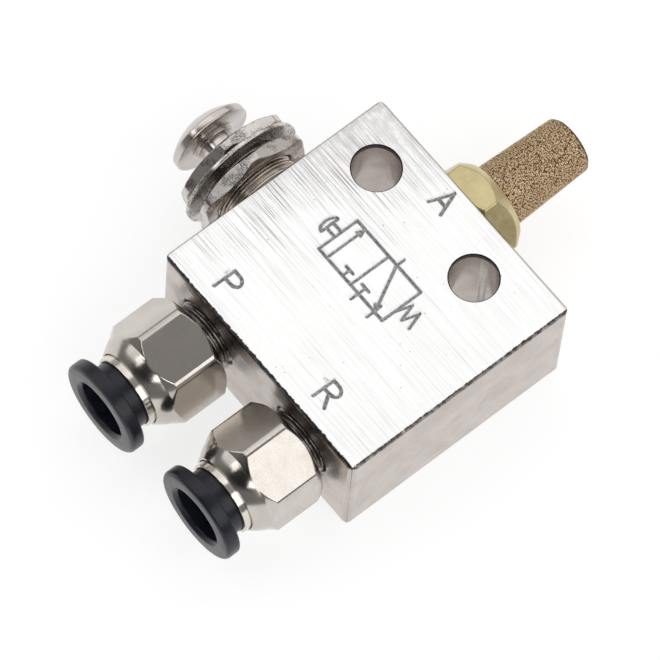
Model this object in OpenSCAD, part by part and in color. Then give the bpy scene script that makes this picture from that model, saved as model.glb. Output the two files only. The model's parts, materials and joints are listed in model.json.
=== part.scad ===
// Three-port, two-position push-button air valve with two push-in tube fittings
// and a sintered bronze muffler screwed into its third port.
// Frame: origin at the centre of the body's bottom face, +Z up through the mounting
// holes, +X towards the muffler, +Y towards the push button.

/* [Valve body] */
// Length of the body along X, from the tube fittings to the muffler
body_length = 36; // [35.5:0.5:38]
// Width of the body along Y, in line with the push button
body_width = 38; // [38:0.5:40]
// Thickness of the body along Z
body_thickness = 18; // [18:0.5:20]
// Radius of the four upright corners
corner_radius = 0.9; // [0.5:0.1:1.5]
// Chamfer on the straight edges
edge_chamfer = 0.25; // [0.1:0.05:0.5]

/* [Mounting holes] */
// Diameter of the two through holes
mount_hole_diameter = 6.6; // [5.5:0.1:6.8]
// Distance between the two hole centres, along Y
mount_hole_pitch = 19.7; // [19:0.1:20.5]
// Distance of the holes from the body's centre, along X
mount_hole_x = 11.25; // [11:0.05:11.6]
// Offset of the hole pair's midpoint from the body's centre, along Y
mount_hole_y = 1.95; // [1.7:0.05:2.2]

/* [Ports] */
// Offset of the supply port P from the body's centre, along Y
supply_port_y = 10.2; // [9.8:0.1:10.4]
// Offset of the exhaust port R from the body's centre, along Y
exhaust_port_y = -8.8; // [-9.2:0.1:-8.4]
// Offset of the outlet port A from the body's centre, along Y
outlet_port_y = 1.9; // [1.7:0.1:2.1]
// Major diameter of the 1/8 inch pipe thread
port_thread_diameter = 9.72; // [9.5:0.01:9.8]
// Depth of the threaded part of a port
port_depth = 7; // [6.8:0.1:7.5]

/* [Tube fittings] */
// Outside diameter of the tube that the fittings take
tube_diameter = 8; // [7.9:0.05:8]
// Width across flats of the fitting's hexagon
fitting_hex = 13.8; // [13.2:0.1:14]
// How far a released ring moves in
release_travel = 1.5; // [0.8:0.1:1.5]
// How much deeper the exhaust fitting is screwed in than the supply fitting
exhaust_fitting_sink = 0.4; // [0:0.1:0.4]

/* [Neck and nuts] */
// Diameter of the threaded neck
neck_diameter = 12; // [11.8:0.1:12]
// Width across flats of the two neck nuts
nut_hex = 16; // [15:0.1:16]
// Thickness of each neck nut
nut_thickness = 1.9; // [1.6:0.1:1.9]
// Diameter of the neck washer
washer_diameter = 18; // [16.5:0.1:18]

/* [Push button] */
// Diameter of the push button's disc
button_diameter = 11.6; // [9:0.1:12]
// Diameter of the plunger's stem
stem_diameter = 5; // [4.9:0.05:5]
// Stroke of the push button
button_stroke = 3; // [2:0.1:3]

/* [Muffler] */
// Width across flats of the muffler's brass hexagon
muffler_hex = 13; // [12:0.1:13.5]
// Diameter of the bronze element at its base
element_base_diameter = 9.2; // [8.6:0.1:9.4]
// Diameter of the bronze element at its tip
element_tip_diameter = 8.2; // [7.6:0.1:8.4]
// Distance of the element's tip from the body's face
element_reach = 18.6; // [15:0.1:22]

/* [Hidden] */
$fn = 96;

cut = 0.5;                                   // how far a cutting tool runs past a face
axis_z = body_thickness / 2;                 // height of the ports' and plunger's axes
face_x = body_length / 2;                    // the two faces that carry the ports
face_y = body_width / 2;                     // the face that carries the neck
port_r = port_thread_diameter / 2;
port_mouth_r = port_r + 0.7;
passage_r = 1.7;                             // drilled way from a port to the spool bore
tube_r = tube_diameter / 2;

// Stepped bore for the spool, as places along Y
neck_seat_y = 12.3;                          // floor of the neck's threaded hole
bushing_inner_y = 13;
bushing_outer_y = face_y + 8.8;
land_r = 4;                                  // bore that the spool's seals slide in
chamber_r = 5;                               // wider chambers beside that bore
supply_land_top_y = 8.2;
supply_land_bottom_y = 5;
outlet_chamber_bottom_y = -1.3;
bore_floor_y = -15;
neck_r = neck_diameter / 2;
stem_r = stem_diameter / 2;
running_gap = 0.05;                          // radial clearance of sliding pieces
stem_seal_y = 15.45;
seal_wire_r = 0.7;                           // half the section of a spool seal
upper_seal_y = 6.6;
lower_seal_y = 0.2;
spool_r = 3.8;
waist_r = 2;
stop_collar_r = 3.2;

// Nuts and washer on the neck, as distances from the body's face
inner_nut_at = 2.9;
washer_at = 5.9;
washer_thickness = 0.6;
outer_nut_at = washer_at + washer_thickness;
nut_corner_r = 8.9;                          // the nuts' corners are turned down to this
inner_nut_turn = -33;
outer_nut_turn = -41;

// Push button, as places along Y
button_back_y = face_y + 12;
button_rim = 1.1;
button_crown = 2.2;
button_hub_r = 3;
button_hub = 0.7;
button_recess_r = 3.6;                       // recess in the neck's end that the hub sinks into
button_recess = 0.9;
spigot_r = 1.5;
spigot_length = 2.1;

// Return spring
spring_wire = 0.7;
spring_mean_r = 2.9;
spring_turns = 8;
spring_steps = 20;                           // rings of points in each turn
spring_sides = 8;
spring_top_y = outlet_chamber_bottom_y + 0.08;

// Tube fitting, as distances outwards from the body's face
fitting_thread_end = -6.5;
fitting_hex_start = 2;
fitting_corner_r = 7.75;                     // the hexagon's corners are turned down to this
fitting_shoulder = 10.3;                     // where the rounded shoulder starts
fitting_shoulder_r = 6.92;
shoulder_arc_r = 10;
fitting_mouth = 12.38;
cartridge_r = 5.25;                          // bore that holds the seal, rings and guide
cartridge_floor = 4.7;
tube_stop = 2.4;
flow_r = 3;
socket_r = tube_r + 0.03;
guide_end = 13.4;
guide_step = 9.7;
guide_start = 7.25;
guide_r = 4.82;
guide_lip_r = 5.02;
release_front = 17.45;
release_flange = 2.1;
release_flange_r = 6.8;
release_sleeve_r = 4.75;
release_lip_r = 4.95;
release_lip = 0.7;
release_end = 8.9;
release_bore_r = tube_r + 0.06;
grip_thickness = 0.5;
grip_teeth = 12;
backup_thickness = 0.7;
tube_seal_wire_r = (cartridge_r - socket_r) / 2;
supply_fitting_turn = 17;
exhaust_fitting_turn = 3.4;

// Muffler, as distances outwards from the body's face
muffler_thread_end = -6.5;
muffler_hex_start = 0.7;
muffler_hex_end = 3.0;                        // where the corners' chamfer starts
muffler_base_end = 5.25;
muffler_end_r = 5.7;                          // round end face of the muffler's base
muffler_end_round = 0.35;
muffler_turn = 51.6;
element_seat = 2.5;
element_wall = 1.3;
element_end_round = 0.8;

// Places a child whose own Z axis runs along +Y on the neck's axis
module along_neck(y = 0) {
    translate([0, y, axis_z]) rotate([-90, 0, 0]) children();
}

// Places a child whose own Z axis runs outwards from the face with ports P and R
module on_fitting_side(y, sink = 0) {
    translate([sink - face_x, y, axis_z]) rotate([0, -90, 0]) children();
}

// Places a child whose own Z axis runs outwards from the face with port A
module on_muffler_side(y) {
    translate([face_x, y, axis_z]) rotate([90, 0, 90]) children();
}

// Round bar or hole between two heights
module bar(radius, from, to) {
    translate([0, 0, from]) cylinder(r = radius, h = to - from);
}

// Tapered bar or hole between two heights
module cone(radius_from, radius_to, from, to) {
    translate([0, 0, from]) cylinder(r1 = radius_from, r2 = radius_to, h = to - from);
}

// Flat ring between two heights
module ring(outer, inner, from, to) {
    difference() {
        bar(outer, from, to);
        bar(inner, from - cut, to + cut);
    }
}

// Hexagonal bar between two heights, with its first corner turned by an angle
module hex_bar(flats, from, to, turn) {
    translate([0, 0, from]) rotate([0, 0, turn]) cylinder(d = flats / cos(30), h = to - from, $fn = 6);
}

// Seal ring of round section, centred on its own plane
module seal_ring(mean_radius, wire_radius) {
    rotate_extrude() translate([mean_radius, 0]) circle(r = wire_radius, $fn = 32);
}

// Outline of the body in plan, with rounded upright corners
module body_plan() {
    x = body_length / 2 - corner_radius;
    y = body_width / 2 - corner_radius;
    square([2 * x, body_width], center = true);
    square([body_length, 2 * y], center = true);
    for (sx = [-1, 1])
        for (sy = [-1, 1])
            translate([sx * x, sy * y]) circle(r = corner_radius, $fn = 32);
}

// Rectangle with its four corners cut off
module chamfered_rectangle(width, height, c) {
    w = width / 2;
    h = height / 2;
    polygon([[-w + c, -h], [w - c, -h], [w, -h + c], [w, h - c],
        [w - c, h], [-w + c, h], [-w, h - c], [-w, -h + c]]);
}

// Block with rounded upright corners and chamfered top and bottom edges
module body_block() {
    intersection() {
        linear_extrude(body_thickness) body_plan();
        translate([0, body_width, axis_z]) rotate([90, 0, 0]) linear_extrude(2 * body_width)
            chamfered_rectangle(body_length, body_thickness, edge_chamfer);
        translate([-body_length, 0, axis_z]) rotate([90, 0, 90]) linear_extrude(2 * body_length)
            chamfered_rectangle(body_width, body_thickness, edge_chamfer);
    }
}

// Threaded port with a chamfered mouth and a passage to the spool bore
module port_cut(passage_end) {
    bar(port_r, -port_depth, cut);
    cone(port_r, port_mouth_r + cut, port_r - port_mouth_r, cut);
    bar(passage_r, passage_end, cut - port_depth);
}

// Stepped bore for the neck, the spool and the return spring
module spool_bore_cut() {
    bar(neck_r, neck_seat_y, face_y + cut);
    cone(neck_r, neck_r + 0.6 + cut, face_y - 0.6, face_y + cut);
    bar(chamber_r, supply_land_top_y, neck_seat_y + cut);
    bar(land_r, bore_floor_y, supply_land_top_y + cut);
    bar(chamber_r, outlet_chamber_bottom_y, supply_land_bottom_y);
}

module valve_body() {
    hole_r = mount_hole_diameter / 2;
    color([0.86, 0.86, 0.85]) difference() {
        body_block();
        for (side = [-1, 1])
            translate([mount_hole_x, mount_hole_y + side * mount_hole_pitch / 2, 0])
                bar(hole_r, -cut, body_thickness + cut);
        on_fitting_side(supply_port_y) port_cut(chamber_r - face_x - 1);
        on_fitting_side(exhaust_port_y) port_cut(land_r - face_x - 1);
        on_muffler_side(outlet_port_y) port_cut(chamber_r - face_x - 1);
        along_neck() spool_bore_cut();
    }
}

// Plain threaded tube that guides the stem and carries the two nuts
module neck_bushing() {
    end_chamfer = 0.5;
    gland_half = seal_wire_r + 0.15;
    color([0.72, 0.70, 0.68]) along_neck() difference() {
        union() {
            cone(neck_r - end_chamfer, neck_r, bushing_inner_y, bushing_inner_y + end_chamfer);
            bar(neck_r, bushing_inner_y + end_chamfer, bushing_outer_y - end_chamfer);
            cone(neck_r, neck_r - end_chamfer, bushing_outer_y - end_chamfer, bushing_outer_y);
        }
        bar(stem_r + running_gap, bushing_inner_y - cut, bushing_outer_y + cut);
        bar(button_recess_r, bushing_outer_y - button_recess, bushing_outer_y + cut);
        bar(stem_r + 2 * seal_wire_r + 0.06, stem_seal_y - gland_half, stem_seal_y + gland_half);
    }
}

// Flat gasket between the neck's end and the floor of its hole
module bushing_gasket() {
    color([0.1, 0.1, 0.1]) along_neck() ring(neck_r - 0.05, chamber_r, neck_seat_y, bushing_inner_y);
}

// Seal inside the neck that wipes the stem
module stem_seal() {
    color([0.08, 0.08, 0.08]) along_neck(stem_seal_y) seal_ring(stem_r + seal_wire_r + 0.03, seal_wire_r);
}

// Thin hexagonal nut with both faces chamfered, from height 0 up
module neck_nut(turn) {
    outer = nut_corner_r;
    low = nut_hex / 2 + 0.1;
    slope = (outer - low) * tan(30);
    mouth = 0.6;
    difference() {
        intersection() {
            hex_bar(nut_hex, 0, nut_thickness, turn);
            union() {
                cone(low, outer, 0, slope);
                bar(outer, slope, nut_thickness - slope);
                cone(outer, low, nut_thickness - slope, nut_thickness);
            }
        }
        bar(neck_r, -cut, nut_thickness + cut);
        cone(neck_r + mouth + cut, neck_r, -cut, mouth);
        cone(neck_r, neck_r + mouth + cut, nut_thickness - mouth, nut_thickness + cut);
    }
}

module panel_nut_inner() {
    color([0.74, 0.71, 0.68]) along_neck(face_y + inner_nut_at) neck_nut(inner_nut_turn);
}

module panel_washer() {
    color([0.76, 0.73, 0.71]) along_neck(face_y + washer_at)
        ring(washer_diameter / 2, neck_r, 0, washer_thickness);
}

module panel_nut_outer() {
    color([0.74, 0.71, 0.69]) along_neck(face_y + outer_nut_at) neck_nut(outer_nut_turn);
}

// Groove that holds one spool seal
module spool_seal_groove(y) {
    half = seal_wire_r + 0.15;
    ring(spool_r + cut, land_r - running_gap - 2 * seal_wire_r - 0.01, y - half, y + half);
}

// Turned plunger: stem, stop collar, two seal lands and spring guide in one piece
module plunger_spool() {
    stem_end_y = button_back_y - button_hub;
    upper_land_bottom = supply_land_bottom_y + 0.2;
    lower_land_top = 1.7;
    lower_land_bottom = spring_top_y + 0.02;
    guide_end_y = -6.5;
    color([0.75, 0.72, 0.70]) along_neck() difference() {
        union() {
            bar(spigot_r, stem_end_y, stem_end_y + spigot_length);
            bar(stem_r, bushing_inner_y - 0.05, stem_end_y);
            bar(stop_collar_r, supply_land_top_y - 0.2, bushing_inner_y - 0.02);
            bar(spool_r, upper_land_bottom, supply_land_top_y - 0.2);
            bar(waist_r, lower_land_top, upper_land_bottom);
            bar(spool_r, lower_land_bottom, lower_land_top);
            cone(waist_r - 0.5, waist_r, guide_end_y - 0.5, guide_end_y);
            bar(waist_r, guide_end_y, lower_land_bottom);
        }
        spool_seal_groove(upper_seal_y);
        spool_seal_groove(lower_seal_y);
    }
}

// Disc with a crowned top, a rounded rim edge and a hub that takes the stem's spigot
module push_button() {
    r = button_diameter / 2;
    crown_r = (r * r + button_crown * button_crown) / (2 * button_crown);
    top_y = button_back_y + button_rim + button_crown;
    fillet = 0.4;
    color([0.76, 0.73, 0.71]) along_neck() difference() {
        union() {
            intersection() {
                bar(r, button_back_y, top_y);
                translate([0, 0, top_y - crown_r]) sphere(r = crown_r, $fn = 192);
                union() {
                    cone(r - 0.25, r, button_back_y, button_back_y + 0.25);
                    bar(r, button_back_y + 0.25, top_y);
                }
            }
            bar(button_hub_r, button_back_y - button_hub, button_back_y);
            cone(button_hub_r, button_hub_r + fillet, button_back_y - fillet, button_back_y);
        }
        bar(spigot_r, button_back_y - button_hub - cut, button_back_y - button_hub + spigot_length);
    }
}

module spool_seal_upper() {
    color([0.08, 0.08, 0.08]) along_neck(upper_seal_y)
        seal_ring(land_r - running_gap - seal_wire_r, seal_wire_r);
}

module spool_seal_lower() {
    color([0.08, 0.08, 0.08]) along_neck(lower_seal_y)
        seal_ring(land_r - running_gap - seal_wire_r, seal_wire_r);
}

// Height of the spring's centre line after a number of turns: closed end turns, open middle
function spring_height(turn) =
    let (wire_r = spring_wire / 2,
        low = bore_floor_y + wire_r,
        high = spring_top_y - wire_r - spring_wire,
        closed = low + spring_wire * min(turn, 1),
        open = (high - low - spring_wire) * max(0, min(turn - 1, spring_turns - 2)) / (spring_turns - 2))
    closed + open + spring_wire * max(0, turn - spring_turns + 1);

// One point on the wire's surface
function spring_point(turn, side) =
    let (wire_r = spring_wire / 2,
        around = 360 * side / spring_sides,
        reach = spring_mean_r + wire_r * cos(around))
    [reach * cos(360 * turn), reach * sin(360 * turn), spring_height(turn) + wire_r * sin(around)];

module return_spring() {
    rings = spring_turns * spring_steps;
    points = [for (i = [0 : rings]) for (s = [0 : spring_sides - 1]) spring_point(i / spring_steps, s)];
    walls = [for (i = [0 : rings - 1]) for (s = [0 : spring_sides - 1])
        let (t = (s + 1) % spring_sides)
        for (face = [[i * spring_sides + s, (i + 1) * spring_sides + s, (i + 1) * spring_sides + t],
            [i * spring_sides + s, (i + 1) * spring_sides + t, i * spring_sides + t]]) face];
    start_cap = [[for (s = [0 : spring_sides - 1]) s]];
    end_cap = [[for (s = [spring_sides - 1 : -1 : 0]) rings * spring_sides + s]];
    color([0.7, 0.71, 0.73]) along_neck() polyhedron(points, concat(walls, start_cap, end_cap));
}

// Turned outline of the fitting: chamfered back, round corners, arched shoulder, mouth
module fitting_outline() {
    steps = 5;
    start = 24.5;
    sweep = 14;
    arc = [for (i = [0 : steps]) let (a = start + sweep * i / steps)
        [fitting_shoulder_r + shoulder_arc_r * (cos(a) - cos(start)),
            fitting_shoulder + shoulder_arc_r * (sin(a) - sin(start))]];
    rotate_extrude() polygon(concat([[0, fitting_hex_start], [6.9, fitting_hex_start],
        [fitting_corner_r, fitting_hex_start + 0.85], [fitting_corner_r, fitting_shoulder - 1.1]],
        arc, [[0, fitting_mouth]]));
}

// Nickel-plated body of a push-in fitting
module fitting_body(turn) {
    thread_chamfer = 0.6;
    color([0.78, 0.76, 0.73]) difference() {
        union() {
            cone(port_r - thread_chamfer, port_r, fitting_thread_end, fitting_thread_end + thread_chamfer);
            bar(port_r, fitting_thread_end + thread_chamfer, fitting_hex_start + 0.5);
            intersection() {
                hex_bar(fitting_hex, fitting_hex_start, fitting_mouth, turn);
                fitting_outline();
            }
        }
        bar(flow_r, fitting_thread_end - cut, tube_stop + cut);
        bar(socket_r, tube_stop, cartridge_floor + cut);
        bar(cartridge_r, cartridge_floor, fitting_mouth + cut);
    }
}

// Bright guide pressed into the fitting's mouth, which keeps the release ring in
module guide_ring() {
    color([0.85, 0.83, 0.81]) difference() {
        union() {
            bar(cartridge_r, guide_start, guide_end - 0.2);
            cone(cartridge_r, cartridge_r - 0.2, guide_end - 0.2, guide_end);
        }
        bar(guide_lip_r, guide_start - cut, guide_step);
        bar(guide_r, guide_step - cut, guide_end + cut);
    }
}

// Black release ring: outer flange, sleeve and the lip that the guide holds
module release_ring() {
    back = release_front - release_flange;
    edge = 0.5;
    color([0.1, 0.1, 0.11]) difference() {
        union() {
            bar(release_lip_r, release_end, release_end + release_lip);
            bar(release_sleeve_r, release_end, back + 0.1);
            cone(release_flange_r - edge / 2, release_flange_r, back, back + edge / 2);
            bar(release_flange_r, back + edge / 2, release_front - edge);
            cone(release_flange_r, release_flange_r - edge, release_front - edge, release_front);
        }
        bar(release_bore_r, release_end - cut, release_front + cut);
        cone(release_bore_r, release_bore_r + edge + cut, release_front - edge, release_front + cut);
    }
}

// Stainless ring with teeth that hold the tube
module grip_ring() {
    top = guide_start - 0.05;
    slot_width = 0.5;
    slot_end_r = cartridge_r - 0.5;
    color([0.75, 0.76, 0.78]) difference() {
        ring(cartridge_r, tube_r + 0.08, top - grip_thickness, top);
        for (i = [0 : grip_teeth - 1])
            rotate([0, 0, 360 * i / grip_teeth]) translate([0, -slot_width / 2, top - grip_thickness - cut])
                cube([slot_end_r, slot_width, grip_thickness + 2 * cut]);
    }
}

// Plain ring between the teeth and the seal
module backup_ring() {
    top = guide_start - 0.05 - grip_thickness;
    color([0.85, 0.83, 0.78]) ring(cartridge_r, tube_r + 0.12, top - backup_thickness, top);
}

// Seal that closes on the tube
module tube_seal() {
    color([0.08, 0.08, 0.08]) translate([0, 0, cartridge_floor + tube_seal_wire_r + 0.02])
        seal_ring(socket_r + tube_seal_wire_r, tube_seal_wire_r);
}

module fitting_body_p() {
    on_fitting_side(supply_port_y) fitting_body(supply_fitting_turn);
}

module guide_ring_p() {
    on_fitting_side(supply_port_y) guide_ring();
}

module release_ring_p() {
    on_fitting_side(supply_port_y) release_ring();
}

module grip_ring_p() {
    on_fitting_side(supply_port_y) grip_ring();
}

module backup_ring_p() {
    on_fitting_side(supply_port_y) backup_ring();
}

module tube_seal_p() {
    on_fitting_side(supply_port_y) tube_seal();
}

module fitting_body_r() {
    on_fitting_side(exhaust_port_y, exhaust_fitting_sink) fitting_body(exhaust_fitting_turn);
}

module guide_ring_r() {
    on_fitting_side(exhaust_port_y, exhaust_fitting_sink) guide_ring();
}

module release_ring_r() {
    on_fitting_side(exhaust_port_y, exhaust_fitting_sink) release_ring();
}

module grip_ring_r() {
    on_fitting_side(exhaust_port_y, exhaust_fitting_sink) grip_ring();
}

module backup_ring_r() {
    on_fitting_side(exhaust_port_y, exhaust_fitting_sink) backup_ring();
}

module tube_seal_r() {
    on_fitting_side(exhaust_port_y, exhaust_fitting_sink) tube_seal();
}

// Round envelope of the muffler base: chamfered back, cone from the hexagon's corners to
// the end face, and an arc between the cone and the end face
module muffler_envelope() {
    steps = 4;
    corner = muffler_hex / cos(30) / 2;
    tilt = atan((corner - muffler_end_r) / (muffler_base_end - muffler_hex_end));
    arc = [for (i = [0 : steps]) let (a = tilt + (90 - tilt) * i / steps)
        [muffler_end_r - muffler_end_round * (1 - cos(a)),
            muffler_base_end - muffler_end_round * (1 - sin(a))]];
    rotate_extrude() polygon(concat([[0, muffler_hex_start]], [[corner - 0.5, muffler_hex_start]],
        [[corner, muffler_hex_start + 0.4]], [[corner, muffler_hex_end]], arc, [[0, muffler_base_end]]));
}

// Brass base of the muffler: thread, hexagon and the collar that holds the element
module muffler_base() {
    thread_chamfer = 0.6;
    color([0.80, 0.70, 0.42]) on_muffler_side(outlet_port_y) difference() {
        union() {
            cone(port_r - thread_chamfer, port_r, muffler_thread_end, muffler_thread_end + thread_chamfer);
            bar(port_r, muffler_thread_end + thread_chamfer, muffler_hex_start + 0.5);
            intersection() {
                hex_bar(muffler_hex, muffler_hex_start, muffler_base_end, muffler_turn);
                muffler_envelope();
            }
        }
        bar(flow_r, muffler_thread_end - cut, element_seat + cut);
        bar(element_base_diameter / 2, element_seat, muffler_base_end + cut);
    }
}

// Hollow sintered bronze cap, tapered towards a rounded tip
module muffler_element() {
    steps = 5;
    base_r = element_base_diameter / 2;
    tip_r = element_tip_diameter / 2;
    round_start = element_reach - element_end_round;
    tip_arc = [for (i = [0 : steps]) let (a = 90 * i / steps)
        [tip_r - element_end_round * (1 - cos(a)), round_start + element_end_round * sin(a)]];
    bore_r = base_r - element_wall;
    color([0.66, 0.50, 0.33]) on_muffler_side(outlet_port_y) difference() {
        rotate_extrude() polygon(concat([[0, element_seat]], [[base_r, element_seat]],
            [[base_r, muffler_base_end]], tip_arc, [[0, element_reach]]));
        cone(bore_r, tip_r - element_wall, element_seat - cut, element_reach - element_wall);
    }
}

valve_body();
neck_bushing();
bushing_gasket();
stem_seal();
panel_nut_inner();
panel_washer();
panel_nut_outer();
plunger_spool();
push_button();
spool_seal_upper();
spool_seal_lower();
return_spring();
fitting_body_p();
guide_ring_p();
release_ring_p();
grip_ring_p();
backup_ring_p();
tube_seal_p();
fitting_body_r();
guide_ring_r();
release_ring_r();
grip_ring_r();
backup_ring_r();
tube_seal_r();
muffler_base();
muffler_element();
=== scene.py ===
"""Looks of a push-button air valve: nickel-plated block, neck with two nuts, button,
two push-in tube fittings and a sintered bronze muffler.

Shapes are worked out in millimetres in the CAD row's frame and stored in metres.
"""

import json
import math

import bmesh
import bpy
import numpy as np
from mathutils import Matrix, Vector
from mathutils.geometry import delaunay_2d_cdt
from mathutils.kdtree import KDTree


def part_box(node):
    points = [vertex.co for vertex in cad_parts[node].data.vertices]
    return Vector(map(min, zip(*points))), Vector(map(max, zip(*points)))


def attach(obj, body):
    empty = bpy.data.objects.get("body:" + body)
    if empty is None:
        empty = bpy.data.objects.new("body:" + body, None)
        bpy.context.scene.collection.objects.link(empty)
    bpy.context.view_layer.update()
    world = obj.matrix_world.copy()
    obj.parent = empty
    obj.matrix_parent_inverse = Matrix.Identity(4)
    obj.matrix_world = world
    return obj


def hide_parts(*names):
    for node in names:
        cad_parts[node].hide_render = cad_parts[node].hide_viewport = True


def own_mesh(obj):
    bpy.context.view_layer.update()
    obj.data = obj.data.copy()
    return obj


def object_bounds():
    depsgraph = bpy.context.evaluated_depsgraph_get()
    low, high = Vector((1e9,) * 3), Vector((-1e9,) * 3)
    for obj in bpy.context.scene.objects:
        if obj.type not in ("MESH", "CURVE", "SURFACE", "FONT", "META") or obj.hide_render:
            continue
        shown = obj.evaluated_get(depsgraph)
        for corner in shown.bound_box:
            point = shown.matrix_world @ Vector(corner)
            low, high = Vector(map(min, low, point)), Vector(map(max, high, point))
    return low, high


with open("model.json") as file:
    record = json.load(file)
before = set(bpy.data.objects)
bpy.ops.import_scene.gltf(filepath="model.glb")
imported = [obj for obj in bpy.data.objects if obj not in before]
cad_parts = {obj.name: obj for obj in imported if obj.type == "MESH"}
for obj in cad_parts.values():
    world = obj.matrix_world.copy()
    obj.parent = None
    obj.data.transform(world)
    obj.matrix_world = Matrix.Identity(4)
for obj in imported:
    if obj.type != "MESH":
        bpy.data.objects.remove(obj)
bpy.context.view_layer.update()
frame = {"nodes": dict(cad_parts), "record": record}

MM = 0.001
SEED = 7
X, Y, Z = np.eye(3)

# ---------------------------------------------------------------- places from the frame


def box_mm(node):
    """Lowest and highest corner of a CAD node, in millimetres."""
    low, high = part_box(node)
    return np.array(low) / MM, np.array(high) / MM


def middle(node):
    low, high = box_mm(node)
    return (low + high) / 2


BLOCK_LOW, BLOCK_HIGH = box_mm("valve_body")
BLOCK_MIDDLE = (BLOCK_LOW + BLOCK_HIGH) / 2
TOP = BLOCK_HIGH[2]


def mounting_holes():
    """Centres of the two mounting holes and their radius, in millimetres."""
    mount = next(m for m in frame["record"]["mounts"] if m["name"] == "mounting_holes")
    centre = np.array(mount["pos_m"][:2]) / MM
    half = np.array([0, mount["dims"]["spacing_y_mm"] / 2])
    return [centre - half, centre + half], mount["dims"]["hole_r_mm"]


class Axis:
    """A turned part's own frame: w runs outwards along the part, angles go from u to v."""

    def __init__(self, origin, u, v, w):
        self.origin, self.u, self.v, self.w = np.array(origin, float), u, v, w

    def points(self, r, angle, w):
        r, angle, w = np.broadcast_arrays(r, angle, w)
        return (self.origin + (r * np.cos(angle))[..., None] * self.u
                + (r * np.sin(angle))[..., None] * self.v + w[..., None] * self.w)


# ---------------------------------------------------------------- sizes in millimetres

# Tube fitting, distances outwards from its seat
FITTING_FLAT = 6.9                      # half the width across flats
FITTING_CORNER = 7.75
FITTING_BACK = 2.0
FITTING_BACK_CHAMFER = 0.85
FITTING_SHOULDER = 10.3
FITTING_SHOULDER_R = 6.92
SHOULDER_ARC_R = 10
SHOULDER_START = math.radians(24.5)
SHOULDER_END = math.radians(38.5)
FITTING_MOUTH = 12.38
CARTRIDGE_R = 5.25
CARTRIDGE_FLOOR = 4.7
TUBE_STOP = 2.4
SOCKET_R = 4.03
FLOW_R = 3.0
FITTING_TURNS = {"p": math.radians(17), "r": math.radians(3.4)}

# Threads
PIPE_THREAD_R = 4.86
PIPE_PITCH = 0.907
PIPE_DEPTH = 0.5
PIPE_END = -6.5
PIPE_TIP = [(PIPE_THREAD_R, PIPE_END + 0.6), (PIPE_THREAD_R - 0.6, PIPE_END), (FLOW_R, PIPE_END)]
NECK_PITCH = 1.0
NECK_DEPTH = 0.55

# Muffler, distances outwards from the block's face
MUFFLER_FLAT = 6.5
MUFFLER_TURN = math.radians(51.6)
MUFFLER_BACK = 0.7
MUFFLER_HEX_END = 3.0
MUFFLER_BASE_END = 5.25
MUFFLER_END_R = 5.7
ELEMENT_SEAT = 2.5
ELEMENT_R = 4.6
ELEMENT_TIP_R = 4.1
ELEMENT_WALL = 1.3
ELEMENT_ROUND = 0.8
GRAIN = 0.29                            # size of the bronze grains
ROW = 0.87 * GRAIN                      # spacing of the rows of grains

# Neck nuts
NUT_FLAT = 8.0
NUT_CORNER = 8.9
NUT_FACE_R = 8.1                        # where the corners' chamfer starts
NUT_MOUTH = 0.6
NUT_TURNS = {"panel_nut_inner": math.radians(-33), "panel_nut_outer": math.radians(-41)}

# Fitting's bright ring and black release ring, distances outwards from the fitting's seat
GUIDE_BORE_R = 4.82
GUIDE_STEP_R = 5.02
GUIDE_BACK = 7.25
GUIDE_STEP = 9.7
GUIDE_FRONT = 13.4
RELEASE_BORE_R = 4.06
RELEASE_BARREL_R = 4.75
RELEASE_TOE_R = 4.95                    # the barrel's thick inner end
RELEASE_TOE = (8.9, 9.6)
RELEASE_FLANGE = 2.1

# Return spring
SPRING_WIRE = 0.7
SPRING_TURNS = 8
SPRING_STEPS = 48                       # rings of points in each turn
SPRING_SIDES = 14                       # points around the wire

HEX_BLEND = 0.12                        # softness of the edges between hexagon and turning
MUFFLER_HEX_BLEND = 0.08
SECTOR = math.radians(60)


# ---------------------------------------------------------------- mesh tools


def smooth_min(a, b, blend):
    near = np.clip(blend - np.abs(a - b), 0, None) / blend
    return np.minimum(a, b) - near * near * blend / 4


def smooth_step(low, high, x):
    t = np.clip((x - low) / (high - low), 0, 1)
    return t * t * (3 - 2 * t)


def hexagon(flat, turn, angle):
    """Radius of a hexagon at an angle; turn is the angle of one corner."""
    return flat / np.cos((angle - turn) % SECTOR - SECTOR / 2)


def thread(major, w, angle, pitch, depth, start, end):
    """Radius of a right-hand thread that fades out at both of its ends."""
    phase = (w / pitch - angle / (2 * math.pi)) % 1
    groove = smooth_step(0.2, 0.85, np.abs(phase - 0.5) * 2)
    fade_in = smooth_step(start - 0.1, start + 0.7 * pitch, w)
    fade_out = smooth_step(end + 0.1, end - 0.5 * pitch, w)
    return major - depth * groove * fade_in * fade_out


def hexagon_and_thread(flat, turn, blend, depth, back):
    """Radius for turned(): a hexagon in front of back, down to a depth inside its flats,
    and the pipe thread behind it."""
    def cut(r, w, angle):
        hexed = smooth_min(r, hexagon(flat, turn, angle), blend)
        r = np.where((r > flat - depth) & (w > back - 0.01), hexed, r)
        cut_in = thread(PIPE_THREAD_R, w, angle, PIPE_PITCH, PIPE_DEPTH, PIPE_END, back)
        return np.where((np.abs(r - PIPE_THREAD_R) < 0.01) & (w <= back), cut_in, r)

    return cut


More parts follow.
